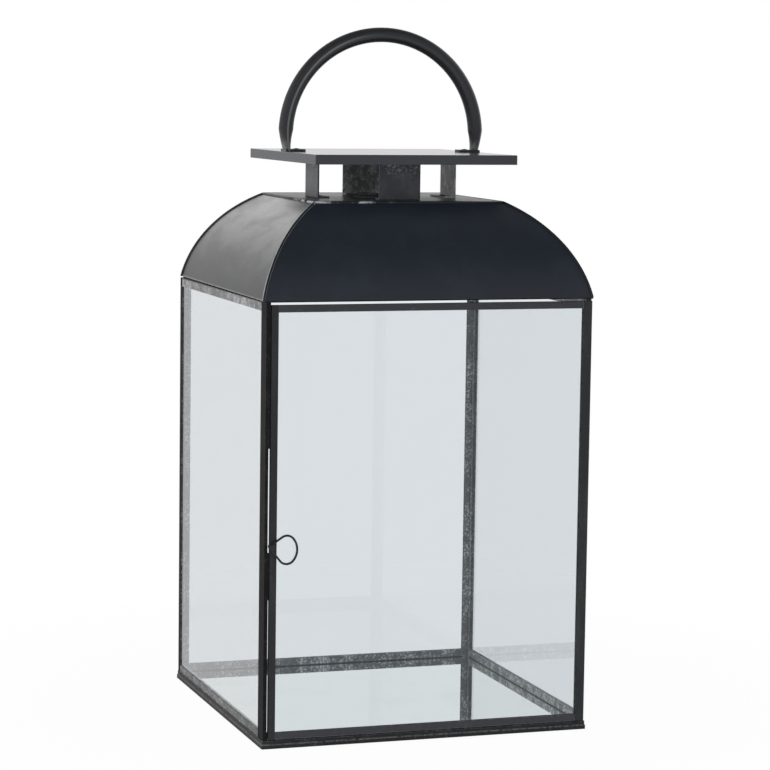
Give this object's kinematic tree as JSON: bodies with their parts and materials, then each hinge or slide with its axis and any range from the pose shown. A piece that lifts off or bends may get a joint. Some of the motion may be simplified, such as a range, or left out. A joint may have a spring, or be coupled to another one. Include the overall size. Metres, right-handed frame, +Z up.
{
  "type": "lantern",
  "caption": "Square black sheet-steel candle lantern with glass sides, hinged glass door, curved hipped roof, raised vent cap and fixed arch handle",
  "frame": {"origin": "middle of the underside of the base, where the lantern stands", "axes": "+Z up along the height, -Y towards the front where the door is, +X to the right seen from the front"},
  "size_m": [0.252, 0.2531, 0.5166],
  "materials": {
    "black_iron": "satin black paint, worn grey on the rails",
    "roof_iron": "blackened sheet with grey mottled patina",
    "handle_iron": "satin black",
    "wire": "dark drawn wire",
    "clear_glass": "clear float glass",
    "mirror": "silvered glass"
  },
  "bodies": {
    "body": {"base_tray": "black_iron", "base_mirror": "mirror", "front_sill": "black_iron", "left_front_stile": "black_iron", "left_back_stile": "black_iron", "left_top_rail": "black_iron", "left_bottom_rail": "black_iron", "left_glass": "clear_glass", "right_front_stile": "black_iron", "right_back_stile": "black_iron", "right_top_rail": "black_iron", "right_bottom_rail": "black_iron", "right_glass": "clear_glass", "back_left_stile": "black_iron", "back_right_stile": "black_iron", "back_top_rail": "black_iron", "back_bottom_rail": "black_iron", "back_glass": "clear_glass", "hinge_wire": "wire", "eave_ring": "black_iron", "roof_front_panel": "roof_iron", "roof_back_panel": "roof_iron", "roof_left_panel": "roof_iron", "roof_right_panel": "roof_iron", "roof_crown_plate": "roof_iron", "vent_strap_front": "black_iron", "vent_strap_back": "black_iron", "vent_strap_left": "black_iron", "vent_strap_right": "black_iron", "strap_rivets": "black_iron", "cap_plate": "roof_iron", "handle": "handle_iron", "handle_rivets": "handle_iron"},
    "door": {"door_hinge_stile": "black_iron", "door_latch_stile": "black_iron", "door_top_rail": "black_iron", "door_bottom_rail": "black_iron", "door_glass": "clear_glass", "latch_stud": "wire"},
    "pull": {"latch_loop": "wire"}
  },
  "joints": [
    {"name": "door_swing", "type": "hinge", "parent": "body", "child": "door", "pos_m": [0.1223, -0.1223, 0.16], "axis": [0, 0, 1], "range_deg": [0, 180]},
    {"name": "loop_turn", "type": "hinge", "parent": "door", "child": "pull", "pos_m": [-0.118, -0.1252, 0.1463], "axis": [0, -1, 0], "range_deg": [-90, 90]}
  ]
}
